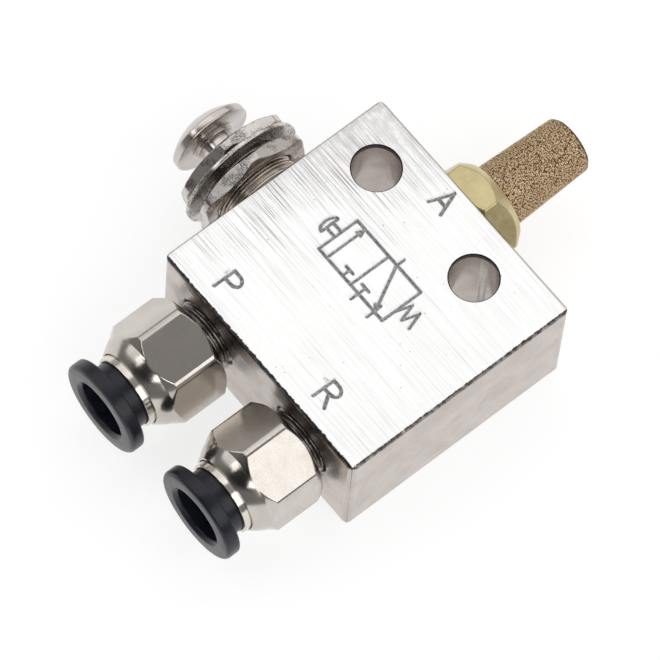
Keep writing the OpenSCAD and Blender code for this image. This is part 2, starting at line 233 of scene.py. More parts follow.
def rounded(corners, closed=True, steps=5):
    """Outline of (r, w) points; a corner written as (r, w, fillet) is rounded by an arc."""
    points = []
    for i, corner in enumerate(corners):
        p = np.array(corner[:2], float)
        fillet = corner[2] if len(corner) > 2 else 0
        if not fillet or (not closed and i in (0, len(corners) - 1)):
            points.append(p)
            continue
        a = np.array(corners[i - 1][:2], float) - p
        b = np.array(corners[(i + 1) % len(corners)][:2], float) - p
        length_a, length_b = np.linalg.norm(a), np.linalg.norm(b)
        a, b = a / length_a, b / length_b
        half = math.acos(np.clip(a @ b, -1, 1)) / 2
        reach = min(fillet / math.tan(half), 0.48 * length_a, 0.48 * length_b)
        centre = p + (a + b) / np.linalg.norm(a + b) * reach / math.cos(half)
        start, end = p + a * reach - centre, p + b * reach - centre
        sweep = math.pi - 2 * half
        for k in range(steps + 1):
            s = sweep * k / steps
            points.append(centre + (start * math.sin(sweep - s) + end * math.sin(s)) / math.sin(sweep))
    return points


def refined(points, step, chosen, closed=True):
    """Outline with its long stretches split, where chosen(r, w) holds at both ends."""
    result = []
    for i, p in enumerate(points):
        result.append(p)
        if i == len(points) - 1 and not closed:
            break
        q = points[(i + 1) % len(points)]
        if chosen(*p) and chosen(*q):
            count = int(np.linalg.norm(q - p) / step)
            result += [p + (q - p) * k / count for k in range(1, count)]
    return result


def new_object(name, mesh):
    obj = bpy.data.objects.new(name, mesh)
    bpy.context.scene.collection.objects.link(obj)
    return obj


def solid_object(name, verts, faces):
    """Object from points in millimetres, with its faces turned outwards."""
    mesh = bpy.data.meshes.new(name)
    mesh.from_pydata([tuple(p * MM) for p in verts], [], faces)
    bm = bmesh.new()
    bm.from_mesh(mesh)
    bmesh.ops.recalc_face_normals(bm, faces=bm.faces)
    bm.to_mesh(mesh)
    bm.free()
    return new_object(name, mesh)


def shade(obj, sharp=50, weighted=True):
    """Smooth shading, sharp where faces meet at more than an angle in degrees."""
    obj.data.polygons.foreach_set("use_smooth", [True] * len(obj.data.polygons))
    obj.data.set_sharp_from_angle(angle=math.radians(sharp))
    if weighted:
        modifier = obj.modifiers.new("weighted_normals", "WEIGHTED_NORMAL")
        modifier.keep_sharp = True
        modifier.weight = 60


def turned(name, outline, axis, steps=144, radius=None):
    """Turned part: outline is a closed loop of (r, w), or a path with both ends on the axis.
    radius(r, w, angle) may change the radius, for hexagons and threads."""
    outline = np.array(outline, float)
    angle = np.arange(steps) * 2 * math.pi / steps
    r = np.repeat(outline[:, :1], steps, axis=1)
    w = outline[:, 1:]
    if radius is not None:
        r = radius(r, w, angle[None, :])
    points = axis.points(r, angle[None, :], w)
    on_axis = outline[:, 0] < 1e-6
    verts, rows = [], []
    for i in range(len(outline)):
        if on_axis[i]:
            rows.append([len(verts)] * steps)
            verts.append(points[i, 0])
        else:
            rows.append(list(range(len(verts), len(verts) + steps)))
            verts.extend(points[i])
    pairs = list(zip(rows[:-1], rows[1:]))
    if not on_axis.any():
        pairs.append((rows[-1], rows[0]))
    faces = []
    for a, b in pairs:
        for k in range(steps):
            n = (k + 1) % steps
            corners = list(dict.fromkeys((a[k], a[n], b[n], b[k])))
            if len(corners) > 2:
                faces.append(corners)
    return solid_object(name, verts, faces)


def finished(obj, material, slot, body, *nodes):
    """Gives a piece its material and its place in the frame, in place of CAD nodes."""
    if not obj.data.materials:
        obj.data.materials.append(material)
    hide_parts(*nodes)
    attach(obj, body)
    return obj


# ---------------------------------------------------------------- materials

SCUFF_GREY = (0.06, 0.056, 0.056)       # dirt in the marks that a spanner left
# black of the burrs and of the painted shade below them on the block's sides
BURR_AND_SHADE_BLACK = (0.035, 0.033, 0.035)
# black of the painted shadow inside the mounting holes
HOLE_SHADOW_BLACK = (0.02, 0.019, 0.02)
TOP_SILVER = (0.92, 0.915, 0.912)
TOP_HAZE = (0.55, 0.54, 0.535)          # duller patches near the neck's end of the top
TOP_SPECK = (0.12, 0.11, 0.11)
TOP_EDGE = (0.03, 0.028, 0.03)
ENGRAVED_GREY = (0.10, 0.096, 0.096)


class Graph:
    """The nodes of a material or a world, and how they are joined."""

    def __init__(self, owner, coords="Object"):
        owner.use_nodes = True
        self.nodes, self.links = owner.node_tree.nodes, owner.node_tree.links
        self.place = self.nodes.new("ShaderNodeTexCoord").outputs[coords]

    def put(self, socket, value):
        if isinstance(value, bpy.types.NodeSocket):
            self.links.new(value, socket)
        else:
            socket.default_value = value

    def coords(self, scale=(1, 1, 1)):
        node = self.nodes.new("ShaderNodeMapping")
        self.links.new(self.place, node.inputs["Vector"])
        node.inputs["Scale"].default_value = [s / MM for s in scale]
        return node.outputs["Vector"]

    def noise(self, scale, detail=3, roughness=0.5, stretch=(1, 1, 1), distortion=0):
        node = self.nodes.new("ShaderNodeTexNoise")
        self.links.new(self.coords(stretch), node.inputs["Vector"])
        node.inputs["Scale"].default_value = scale
        node.inputs["Detail"].default_value = detail
        node.inputs["Roughness"].default_value = roughness
        node.inputs["Distortion"].default_value = distortion
        return node.outputs["Fac"]

    def cells(self, scale):
        node = self.nodes.new("ShaderNodeTexVoronoi")
        self.links.new(self.coords(), node.inputs["Vector"])
        node.inputs["Scale"].default_value = scale
        return node.outputs["Distance"]

    def spread(self, value, low, high, to_low=0.0, to_high=1.0):
        node = self.nodes.new("ShaderNodeMapRange")
        self.put(node.inputs["Value"], value)
        limits = {"From Min": low, "From Max": high, "To Min": to_low, "To Max": to_high}
        for socket, number in limits.items():
            node.inputs[socket].default_value = number
        return node.outputs["Result"]

    def spread_mm(self, value, low, high, to_low=0.0, to_high=1.0):
        """As spread, of a length in metres between limits in millimetres."""
        return self.spread(value, low * MM, high * MM, to_low, to_high)

    def position(self):
        """The X, Y and Z of the point's place in metres, or of a direction in a world."""
        node = self.nodes.new("ShaderNodeSeparateXYZ")
        self.links.new(self.place, node.inputs[0])
        return node.outputs

    def math(self, operation, a, b=0.0):
        node = self.nodes.new("ShaderNodeMath")
        node.operation = operation
        self.put(node.inputs[0], a)
        self.put(node.inputs[1], b)
        return node.outputs[0]

    def times(self, a, b):
        return self.math("MULTIPLY", a, b)

    def blend(self, factor, a, b):
        node = self.nodes.new("ShaderNodeMix")
        node.data_type = "RGBA"
        self.put(node.inputs["Factor"], factor)
        for socket, value in zip((node.inputs[6], node.inputs[7]), (a, b)):
            self.put(socket, value if isinstance(value, bpy.types.NodeSocket) else (*value, 1))
        return node.outputs[2]

    def bump(self, height, strength, depth, normal=None):
        """Bump of a real depth in millimetres."""
        node = self.nodes.new("ShaderNodeBump")
        self.links.new(height, node.inputs["Height"])
        node.inputs["Strength"].default_value = strength
        node.inputs["Distance"].default_value = depth * MM
        if normal is not None:
            self.links.new(normal, node.inputs["Normal"])
        return node.outputs["Normal"]


class Look(Graph):
    """A procedural material on object coordinates; its textures' scales are per millimetre."""

    def __init__(self, name, **values):
        self.material = bpy.data.materials.new(name)
        super().__init__(self.material)
        self.shader = self.nodes["Principled BSDF"]
        for socket, value in values.items():
            self.shader.inputs[socket.replace("_", " ")].default_value = value

    def finish(self, colour, roughness, normal):
        for socket, value in (("Base Color", colour), ("Roughness", roughness), ("Normal", normal)):
            self.links.new(value, self.shader.inputs[socket])
        return self.material


def scaled(colour, *factors):
    """A colour times one factor, or times one for each of its channels."""
    return tuple(c * f for c, f in zip(colour, factors if len(factors) == 3 else factors * 3))


def painted_hole_shadows(look, at, colour):
    """Painted shadow: black rims inside the mounting holes, deeper on the side towards +X and +Y."""
    centres, hole_r = mounting_holes()
    for centre in centres:
        across = look.math("SUBTRACT", at["X"], centre[0] * MM)
        along = look.math("SUBTRACT", at["Y"], centre[1] * MM)
        far_side = look.spread_mm(look.math("ADD", across, along), 2.2, 2.7)
        deep = look.spread_mm(at["Z"], TOP - 0.95, TOP - 0.85)
        shallow = look.spread_mm(at["Z"], TOP - 0.45, TOP - 0.3)
        # rim is the mask of the painted shadow on the hole's wall
        rim = look.math("MAXIMUM", look.times(far_side, deep), shallow)
        for offset in (across, along):
            near = look.spread_mm(look.math("ABSOLUTE", offset), hole_r + 0.4, hole_r + 0.3)
            rim = look.times(rim, near)
        colour = look.blend(rim, colour, HOLE_SHADOW_BLACK)
    return colour


def plated(name, base, along, roughness=0.2, line_depth=0.004, tarnish=0.25, burrs_and_shade=(), scuffs=0.0):
    """Nickel plate over turned or milled metal: fine tool lines square to one direction.
    burrs are (axis, place, depth): dark, ragged bands under the top edge of two sides, a burr along the edge
    with painted shade below it.
    scuffs is the strength of dark, gritty patches left by a spanner."""
    look = Look(name, Metallic=1.0)
    lines = look.noise(1.0, 4, 0.65, tuple(9.0 if a else 0.35 for a in along))
    broad = look.noise(0.22, 3, 0.55, distortion=0.6)
    grain = look.noise(6.0, 2, 0.6)
    dark = scaled(base, 0.88, 0.865, 0.84)
    colour = look.blend(look.spread(broad, 0.35, 0.68), base, dark)
    colour = look.blend(look.spread(lines, 0.45, 0.75, 0.0, tarnish), colour, scaled(base, 1.06))
    colour = look.blend(look.spread(lines, 0.5, 0.7, 0.0, 0.6 * tarnish), colour, scaled(base, 0.6))
    colour = look.blend(look.spread(grain, 0.45, 0.7, 0.0, 0.3), colour, scaled(base, 0.62))
    colour = look.blend(look.spread(look.cells(1.3), 0.05, 0.02, 0.0, 0.5), colour, dark)
    if scuffs:
        patches = look.spread(look.noise(0.42, 3, 0.6), 0.46, 0.56)
        grit = look.spread(look.noise(5.0, 4, 0.8), 0.42, 0.56, 0.0, scuffs)
        colour = look.blend(look.times(patches, grit), colour, SCUFF_GREY)
    if burrs_and_shade:
        at = look.position()
        # painted shadow inside the mounting holes
        colour = painted_hole_shadows(look, at, colour)
        ragged = look.spread(look.noise(0.9, 4, 0.7), 0.25, 0.75, 0.0, 0.5 * MM)
        height = look.math("ADD", at["Z"], ragged)
    # dark band under the top edge: a burr along the edge, with painted shade below it
    for axis, place, depth in burrs_and_shade:
        band = look.spread_mm(height, TOP - depth, TOP + 0.25)
        near = look.spread_mm(at[axis], place + 0.35, place + 0.2)
        colour = look.blend(look.times(band, near), colour, BURR_AND_SHADE_BLACK)
    rough = look.math("ADD", look.spread(broad, 0.3, 0.7, roughness - 0.05, roughness + 0.08),
                      look.spread(grain, 0.3, 0.7, -0.03, 0.04))
    normal = look.bump(lines, 0.5, line_depth)
    normal = look.bump(broad, 0.25, 0.015, normal)
    return look.finish(colour, rough, normal)


def milled_top():
    """Bright milled face: long streaks along Y, a dark burr at two edges, and engraving."""
    look = Look("milled_top", Metallic=1.0)
    at = look.position()
    streaks = look.noise(1.0, 5, 0.7, (6.0, 0.05, 1.0))
    hairlines = look.noise(1.0, 3, 0.6, (13.0, 0.09, 1.0))
    towards = look.math("ADD", at["Y"], look.times(at["X"], 0.6))
    towards_neck = look.spread_mm(towards, 2, 18, 0.22, 1.4)
    patchy = look.times(towards_neck, look.spread(look.noise(0.09, 3), 0.4, 0.58, 0.35, 1.0))
    colour = TOP_SILVER
    for mark, low, high, dark in ((streaks, 0.53, 0.64, (0.30, 0.285, 0.28)),
                                  (hairlines, 0.55, 0.65, (0.18, 0.17, 0.17))):
        colour = look.blend(look.times(look.spread(mark, low, high), patchy), colour, dark)
    mottled = look.spread(look.noise(1.4, 4, 0.7, (1.0, 0.45, 1.0)), 0.38, 0.6, 0.15, 0.8)
    colour = look.blend(look.times(look.spread_mm(towards, 13, 27), mottled), colour, TOP_HAZE)
    specks = look.spread(look.cells(0.8), 0.09, 0.04)
    patches = look.spread(look.noise(0.35, 2), 0.52, 0.62)
    colour = look.blend(look.times(specks, patches), colour, TOP_SPECK)
    ragged = look.spread(look.noise(1.8, 4, 0.7), 0.3, 0.75, 0.0, 0.35 * MM)
    for axis, low in (("X", BLOCK_LOW[0]), ("Y", BLOCK_LOW[1])):
        inwards = look.math("SUBTRACT", at[axis], ragged)
        colour = look.blend(look.spread_mm(inwards, low + 0.22, low + 0.32, 1.0, 0.0), colour, TOP_EDGE)
    sunk = look.spread_mm(at["Z"], TOP - 0.02, TOP - 0.12)
    gritty = look.spread(look.noise(4.0, 4, 0.75), 0.35, 0.65, 0.45, 1.0)
    colour = look.blend(look.times(sunk, gritty), colour, ENGRAVED_GREY)
    rough = look.math("ADD", look.spread(streaks, 0.3, 0.75, 0.24, 0.40), look.times(sunk, 0.15))
    normal = look.bump(streaks, 0.5, 0.010)
    normal = look.bump(hairlines, 0.5, 0.005, normal)
    return look.finish(colour, rough, normal)


def black_plastic():
    """Dark blue-black plastic, dusty, with a painted sheen that makes the front face greyer."""
    look = Look("black_acetal", Metallic=0.0, IOR=1.5, Specular_IOR_Level=0.36)
    broad = look.noise(0.5, 3, 0.6)
    grain = look.noise(9.0, 3, 0.6)
    colour = look.blend(look.spread(broad, 0.35, 0.7), (0.008, 0.009, 0.016), (0.015, 0.016, 0.025))
    colour = look.blend(look.spread(look.cells(1.1), 0.07, 0.03, 0.0, 0.5), colour, (0.16, 0.16, 0.17))
    # painted sheen: a greyer front face stands in for the pale floor's reflection
    front = box_mm("release_ring_p")[0][0]
    painted_front_sheen = look.spread_mm(look.position()["X"], front + 0.5, front + 0.1, 0.0, 0.9)
    colour = look.blend(painted_front_sheen, colour, (0.050, 0.050, 0.054))
    rough = look.math("ADD", look.spread(grain, 0.3, 0.7, 0.28, 0.38),
                      look.spread(broad, 0.4, 0.7, -0.05, 0.06))
    return look.finish(colour, rough, look.bump(grain, 0.3, 0.006))


def turned_brass(name, base, roughness):
    """Satin brass: fine lines from turning, and darker patches of tarnish."""
    look = Look(name, Metallic=1.0)
    lines = look.noise(1.0, 4, 0.6, (7.0, 0.4, 0.4))
    broad = look.noise(0.4, 3, 0.6, distortion=0.5)
    colour = look.blend(look.spread(broad, 0.35, 0.7), base, scaled(base, 0.80, 0.76, 0.66))
    grain = look.noise(7.0, 2, 0.6)
    rough = look.spread(grain, 0.3, 0.7, roughness - 0.05, roughness + 0.07)
    normal = look.bump(lines, 0.5, 0.006)
    normal = look.bump(grain, 0.4, 0.008, normal)
    return look.finish(colour, rough, normal)


def sintered():
    """Bronze balls fused together: bright crowns, and painted shade that darkens the gaps between them to
    brown.
    """
    look = Look("sintered_bronze", Metallic=1.0)
    gap = look.nodes.new("ShaderNodeAttribute")
    gap.attribute_name = "gap"
    shade_of_ball = look.nodes.new("ShaderNodeAttribute")
    shade_of_ball.attribute_name = "ball"
    crown = look.blend(shade_of_ball.outputs["Fac"], (0.85, 0.67, 0.44), (0.64, 0.465, 0.28))
    fine = look.noise(8.0, 3, 0.7)
    crown = look.blend(look.spread(fine, 0.5, 0.75, 0.0, 0.5), crown, (0.52, 0.37, 0.22))
    # painted shade in the gaps between the balls
    colour = look.blend(look.spread(gap.outputs["Fac"], 0.42, 0.9), crown, (0.17, 0.10, 0.055))
    rough = look.spread(gap.outputs["Fac"], 0.2, 0.9, 0.42, 0.75)
    return look.finish(colour, rough, look.bump(fine, 0.4, 0.02))


def plain(name, base, metallic, roughness, scale):
    """Inner parts: two close tones, a varied gloss and a fine surface."""
    look = Look(name, Metallic=metallic)
    grain = look.noise(scale, 4, 0.6)
    colour = look.blend(look.spread(grain, 0.35, 0.7), base, scaled(base, 0.7))
    rough = look.spread(grain, 0.3, 0.7, roughness - 0.06, roughness + 0.08)
    return look.finish(colour, rough, look.bump(grain, 0.3, 0.01))


looks = {
    "body_nickel": plated("nickel_block", (0.565, 0.508, 0.472), (0, 1, 0), 0.24, 0.002,
                          burrs_and_shade=(("X", BLOCK_LOW[0], 0.5), ("Y", BLOCK_LOW[1], 0.05))),
    "neck_nickel": plated("nickel_neck", (0.64, 0.60, 0.55), (0, 1, 0), 0.2),
    "nut_nickel": plated("nickel_nut", (0.66, 0.62, 0.59), (0, 1, 0), 0.22, scuffs=0.85),
    "button_nickel": plated("nickel_button", (0.62, 0.575, 0.55), (0, 1, 0), 0.22, 0.002),
    "fitting_nickel": plated("nickel_fitting", (0.61, 0.57, 0.527), (1, 0, 0), 0.14, 0.004, 0.6),
    "guide_bright": plated("nickel_guide", (0.74, 0.70, 0.64), (1, 0, 0), 0.15, 0.001),
    "release_black": black_plastic(),
    "grip_steel": plain("grip_steel", (0.60, 0.60, 0.61), 1.0, 0.28, 5),
    "backup_plastic": plain("backup_acetal", (0.72, 0.70, 0.63), 0.0, 0.45, 4),
    "stem_nickel": plated("nickel_stem", (0.64, 0.60, 0.56), (0, 1, 0), 0.15, 0.002),
    "muffler_brass": turned_brass("satin_brass", (0.635, 0.545, 0.315), 0.31),
    "sintered_bronze": sintered(),
    "spring_steel": plain("spring_steel", (0.58, 0.59, 0.61), 1.0, 0.25, 6),
    "seal_rubber": plain("nitrile_rubber", (0.025, 0.025, 0.027), 0.0, 0.6, 5),
}
MILLED_TOP = milled_top()
# dark thread next to the block: painted shade of the gap between fitting and block
SHADED_THREAD = plain("shaded_thread", (0.30, 0.28, 0.26), 1.0, 0.28, 3)


# ---------------------------------------------------------------- block with engraving

HOLE_LIP = 0.14                         # chamfer at the top of the mounting holes
LETTER_HEIGHT = 3.4
LETTER_STROKE = 0.26                    # half the width of an engraved line
LETTER_DEPTH = 0.2
SYMBOL_STROKE = 0.25
SYMBOL_DEPTH = 0.17
SYMBOL_BOX = 6.4                        # side of one square of the valve symbol
SYMBOL_TICK = 1.2                       # length of the short lines at its ports
SYMBOL_BAR = 0.7                        # half the width of a closed port's bar
SYMBOL_PUSH = 1.7                       # how far its push button stands off
TOP_GRID = 1.25                         # spacing of the plain top's mesh
TOP_MARGIN = 0.4                        # width along the edges that is left without points
PORT_MARKS = {"P": (-13.9, 10.7), "R": (-13.6, -8.95), "A": (15.2, 2.9)}
SYMBOL_AT = (1.4, 1.2)


def arc(cx, cy, rx, ry, start, end, steps=8):
    turns = [math.radians(start + (end - start) * k / steps) for k in range(steps + 1)]
    return [(cx + rx * math.cos(t), cy + ry * math.sin(t)) for t in turns]


def letter_lines(letter):
    """Strokes of a port letter, one unit high, standing on the line through 0."""
    bowl = [(0, 1), (0.34, 1)] + arc(0.34, 0.76, 0.28, 0.24, 90, -90) + [(0, 0.52)]
    return {
        "P": [[(0, 0), (0, 1)], bowl],
        "R": [[(0, 0), (0, 1)], bowl, [(0.3, 0.52), (0.66, 0)]],
        "A": [[(0, 0), (0.36, 1), (0.72, 0)], [(0.13, 0.36), (0.59, 0.36)]],
    }[letter]


def arrow(start, end, head=0.9):
    """An arrow's shaft and head as two strokes."""
    (ax, ay), (bx, by) = start, end
    direction = math.atan2(by - ay, bx - ax)
    wings = [(bx - head * math.cos(direction + s), by - head * math.sin(direction + s))
             for s in (-0.42, 0.42)]
    return [[start, end], [wings[0], end, wings[1]]]


def valve_symbol():
    """The usual schematic of a three-port valve with a push button and a return spring."""
    s = SYMBOL_BOX
    h, q = s / 2, s / 4
    left, right = -s / 2, s / 2
    tick, bar, push = SYMBOL_TICK, SYMBOL_BAR, s + SYMBOL_PUSH
    lines = [[(-s, -h), (s, -h), (s, h), (-s, h), (-s, -h)], [(0, -h), (0, h)]]
    arrows = (arrow((left - q, -h), (left - q, h - 0.25)),
              arrow((right - q, h), (right + q, -h + 0.25)))
    for flow, x in zip(arrows, (left + q, right - q)):
        lines += flow
        lines += [[(x, -h), (x, -h + tick)], [(x - bar, -h + tick), (x + bar, -h + tick)]]
    lines += [[(right - q, h), (right - q, h + tick)]]
    lines += [[(x, -h), (x, -h - tick)] for x in (right - q, right + q)]
    lines += [[(-s, y), (-push, y)] for y in (0.55, -0.55)]
    lines += [arc(-push, 0, 0.8, 1.4, 90, 270), [(-push, 1.4), (-push, -1.4)]]
    lines += [[(s + 0.75 * k, -tick if k % 2 == 0 else tick) for k in range(5)]]
    return lines


def on_top(lines, at, size=1.0):
    """Lines that read along -Y with their tops towards +X, as points on the top face."""
    return [[(at[0] + b * size, at[1] - a * size) for a, b in line] for line in lines]


class Engraving:
    """Grooves in a flat face: where they are, and how deep the face is at any point."""

    def __init__(self):
        self.starts, self.ends, self.widths, self.depths = [], [], [], []

    def add(self, lines, width, depth):
        for line in lines:
            for a, b in zip(line[:-1], line[1:]):
                self.starts.append(a)
                self.ends.append(b)
                self.widths.append(width)
                self.depths.append(depth)

    def distance(self, points):
        """Distance to the nearest groove's centre line, in half widths, and its depth."""
        starts, ends = np.array(self.starts), np.array(self.ends)
        widths, depths = np.array(self.widths), np.array(self.depths)
        along = ends - starts
        length2 = np.maximum((along ** 2).sum(1), 1e-12)
        best, depth = np.full(len(points), 1e9), np.zeros(len(points))
        for i in range(len(starts)):
            t = np.clip(((points - starts[i]) @ along[i]) / length2[i], 0, 1)
            d = np.linalg.norm(points - starts[i] - t[:, None] * along[i], axis=1) / widths[i]
            nearer = d < best
            best[nearer], depth[nearer] = d[nearer], depths[i]
        return best, depth

    def samples(self, rng, rows=(0.0, 0.45, 0.8, 1.02, 1.35), step=0.13):
        """Points along each groove, in rows at several distances from its centre line."""
        points = []
        for a, b, width in zip(np.array(self.starts), np.array(self.ends), self.widths):
            length = np.linalg.norm(b - a)
            if length < 1e-9:
                continue
            along = (b - a) / length
            side = np.array([-along[1], along[0]])
            count = max(1, int(round(length / step)))
            for row in rows:
                reach = row * width
                for k in range(count + 1):
                    ragged = 1 + (rng.normal(0, 0.05) if 0.9 < row < 1.1 else 0)
                    for sign in ((1, -1) if row else (1,)):
                        points.append((a + along * length * k / count + side * reach * sign * ragged, row))
                for end, base in ((a, math.pi), (b, 0.0)):
                    for turn in np.linspace(-75, 75, 5) if row else ():
                        t = math.atan2(along[1], along[0]) + base + math.radians(turn)
                        points.append((end + reach * np.array([math.cos(t), math.sin(t)]), row))
        places = np.array([p for p, _ in points])
        rows_of = np.array([row for _, row in points])
        distance, _ = self.distance(places)
        return places[distance > rows_of - 0.12]


def thinned(points, spacing):
    """The points that are left when near doubles are dropped."""
    kept = {}
    for p in points:
        kept.setdefault((round(p[0] / spacing), round(p[1] / spacing)), p)
    return list(kept.values())


def block():
    """The CAD block with its top face remeshed around lipped holes and engraved marks."""
    rng = np.random.default_rng(SEED)
    engraving = Engraving()
    for letter, (x, y) in PORT_MARKS.items():
        half = LETTER_HEIGHT / 2
        lines = on_top(letter_lines(letter), (x - half, y + 0.33 * LETTER_HEIGHT), LETTER_HEIGHT)
        engraving.add(lines, LETTER_STROKE, LETTER_DEPTH)
    engraving.add(on_top(valve_symbol(), SYMBOL_AT), SYMBOL_STROKE, SYMBOL_DEPTH)

    bm = bmesh.new()
    bm.from_mesh(frame["nodes"]["valve_body"].data)
    bmesh.ops.remove_doubles(bm, verts=bm.verts, dist=1e-6)
    top = TOP * MM
    bmesh.ops.recalc_face_normals(bm, faces=bm.faces)
    face = [f for f in bm.faces if f.normal.z > 0.999 and abs(f.calc_center_median().z - top) < 1e-6]
    bmesh.ops.delete(bm, geom=face, context="FACES")
    rim = [e for e in bm.edges if e.is_boundary]
    for f in bm.faces:
        f.material_index = 0

    centres, hole_r = mounting_holes()
    lip = {}
    for v in {v for e in rim for v in e.verts}:
        for centre in centres:
            out = np.array(v.co[:2]) / MM - centre
            if np.linalg.norm(out) < hole_r * 1.1:
                place = centre + out / np.linalg.norm(out) * (hole_r + HOLE_LIP)
                lip[v] = bm.verts.new((*(place * MM), top))
    for e in rim:
        a, b = e.verts
        if a in lip:
            bm.faces.new((a, b, lip[b], lip[a]))
    for v in lip:
        v.co.z -= HOLE_LIP * MM

    ring_verts = list(dict.fromkeys(lip.get(v, v) for e in rim for v in e.verts))
    number = {v: i for i, v in enumerate(ring_verts)}
    edges = [tuple(number[lip.get(v, v)] for v in e.verts) for e in rim]
    flat = [tuple(np.array(v.co[:2]) / MM) for v in ring_verts]

    first, last = BLOCK_LOW[:2] + TOP_MARGIN, BLOCK_HIGH[:2] - TOP_MARGIN
    rows, columns = (np.arange(BLOCK_LOW[i] + 0.5, BLOCK_HIGH[i], TOP_GRID) for i in (0, 1))
    grid = [(x, y) for x in rows for y in columns]
    marks = engraving.samples(rng)
    far = [p for p, d in zip(grid, engraving.distance(np.array(grid))[0]) if d > 3]
    inner = [p for p in thinned([*marks, *far], 0.05)
             if all(np.linalg.norm(np.array(p) - c) > hole_r + HOLE_LIP + 0.2 for c in centres)
             and first[0] < p[0] < last[0] and first[1] < p[1] < last[1]]
    coords = flat + [tuple(p) for p in inner]
    out = delaunay_2d_cdt([Vector(p) for p in coords], edges, [], 0, 1e-5)
    places, triangles, sources = np.array([tuple(v) for v in out[0]]), out[2], out[3]
    distance, depth = engraving.distance(places)
    uneven = rng.normal(0, 0.06, len(places))
    sink = depth * (1 - smooth_step(0.5, 1.0, distance + uneven)) * (1 + 2 * uneven)
    verts = []
    for place, down, source in zip(places, sink, sources):
        known = [s for s in source if s < len(flat)]
        verts.append(ring_verts[known[0]] if known
                     else bm.verts.new((*(place * MM), top - down * MM)))
    for triangle in triangles:
        middle_of = places[list(triangle)].mean(0)
        if all(np.linalg.norm(middle_of - c) > hole_r + HOLE_LIP * 0.9 for c in centres):
            corners = [verts[i] for i in triangle]
            if len(set(corners)) == 3 and bm.faces.get(corners) is None:
                bm.faces.new(corners).material_index = 1
    bmesh.ops.recalc_face_normals(bm, faces=bm.faces)
    mesh = bpy.data.meshes.new("block")
    bm.to_mesh(mesh)
    bm.free()
    obj = new_object("block", mesh)
    mesh.materials.append(looks["body_nickel"])
    mesh.materials.append(MILLED_TOP)
    shade(obj, 28)
    finished(obj, None, "body_nickel", "valve", "valve_body")


# ---------------------------------------------------------------- neck, nuts and button


def neck_axis():
    centre = middle("neck_bushing")
    return Axis((centre[0], 0, centre[2]), X, -Z, Y)


def neck():
    low, high = box_mm("neck_bushing")
    start, end, r = low[1], high[1], (high[0] - low[0]) / 2
    bore, chamfer, recess_r, recess = 2.55, 0.5, 3.6, 0.9
    gland_r, gland = 3.96, (14.6, 16.3)
    corners = [(bore, start), (r - chamfer, start), (r, start + chamfer), (r, end - chamfer),
               (r - chamfer, end), (recess_r, end, 0.12), (recess_r, end - recess), (bore, end - recess),
               (bore, gland[1]), (gland_r, gland[1]), (gland_r, gland[0]), (bore, gland[0])]
    outline = refined(rounded(corners), NECK_PITCH / 12, lambda a, w: a > r - 0.01)

    def cut(a, w, angle):
        return np.where(a > r - 0.01, thread(r, w, angle, NECK_PITCH, NECK_DEPTH, start, end), a)

    obj = turned("neck", outline, neck_axis(), 112, cut)
    shade(obj, 60)
    finished(obj, looks["neck_nickel"], "neck_nickel", "valve", "neck_bushing")


def nut(node):
    low, high = box_mm(node)
    start, end = low[1], high[1]
    chamfer = (NUT_CORNER - NUT_FACE_R) * math.tan(math.radians(30))
    neck_low, neck_high = box_mm("neck_bushing")
    bore = (neck_high[0] - neck_low[0]) / 2
    mouth = bore + NUT_MOUTH
    corners = [(mouth, start, 0.08), (NUT_FACE_R, start, 0.2), (NUT_CORNER, start + chamfer, 0.15),
               (NUT_CORNER, end - chamfer, 0.15), (NUT_FACE_R, end, 0.2), (mouth, end, 0.08),
               (bore, end - NUT_MOUTH), (bore, start + NUT_MOUTH)]
    outline = refined(rounded(corners), 0.09, lambda a, w: a > NUT_FLAT - 0.5)

    def cut(a, w, angle):
        hexed = smooth_min(a, hexagon(NUT_FLAT, NUT_TURNS[node], angle), HEX_BLEND)
        return np.where(a > bore + 1, hexed, a)

    obj = turned(node.replace("panel_", ""), outline, neck_axis(), 360, cut)
    shade(obj)
    finished(obj, looks["nut_nickel"], "nut_nickel", "valve", node)


def washer():
    low, high = box_mm("panel_washer")
    r, bore = (high[0] - low[0]) / 2, 6.02
    corners = [(bore, low[1], 0.05), (r, low[1], 0.14), (r, high[1], 0.14), (bore, high[1], 0.05)]
    obj = turned("washer", rounded(corners), neck_axis(), 144)
    shade(obj)
    finished(obj, looks["nut_nickel"], "nut_nickel", "valve", "panel_washer")


def button():
    low, high = box_mm("push_button")
    r, top = (high[0] - low[0]) / 2, high[1]
    hub_r, hub, spigot_r, spigot, rim, crown = 3.0, 0.7, 1.5, 2.1, 1.1, 2.2
    back = low[1] + hub
    crown_r = (r * r + crown * crown) / (2 * crown)
    dome = [(crown_r * math.sin(t), top - crown_r * (1 - math.cos(t)))
            for t in np.linspace(math.asin(0.95 * r / crown_r), 0, 20)]
    corners = [(0, low[1] + spigot), (spigot_r, low[1] + spigot), (spigot_r, low[1]),
               (hub_r, low[1], 0.15), (hub_r, back - 0.1, 0.05), (hub_r + 0.45, back, 0.4),
               (r, back, 0.28), (r, back + rim, 0.3)]
    obj = turned("button", rounded(corners + dome, closed=False), neck_axis(), 144)
    shade(obj)
    finished(obj, looks["button_nickel"], "button_nickel", "plunger", "push_button")


# ---------------------------------------------------------------- tube fittings


def fitting_axis(side):
    centre = middle("guide_ring_" + side)
    seat = box_mm("fitting_body_" + side)[0][0] + FITTING_MOUTH
    return Axis((seat, centre[1], centre[2]), Z, Y, -X)


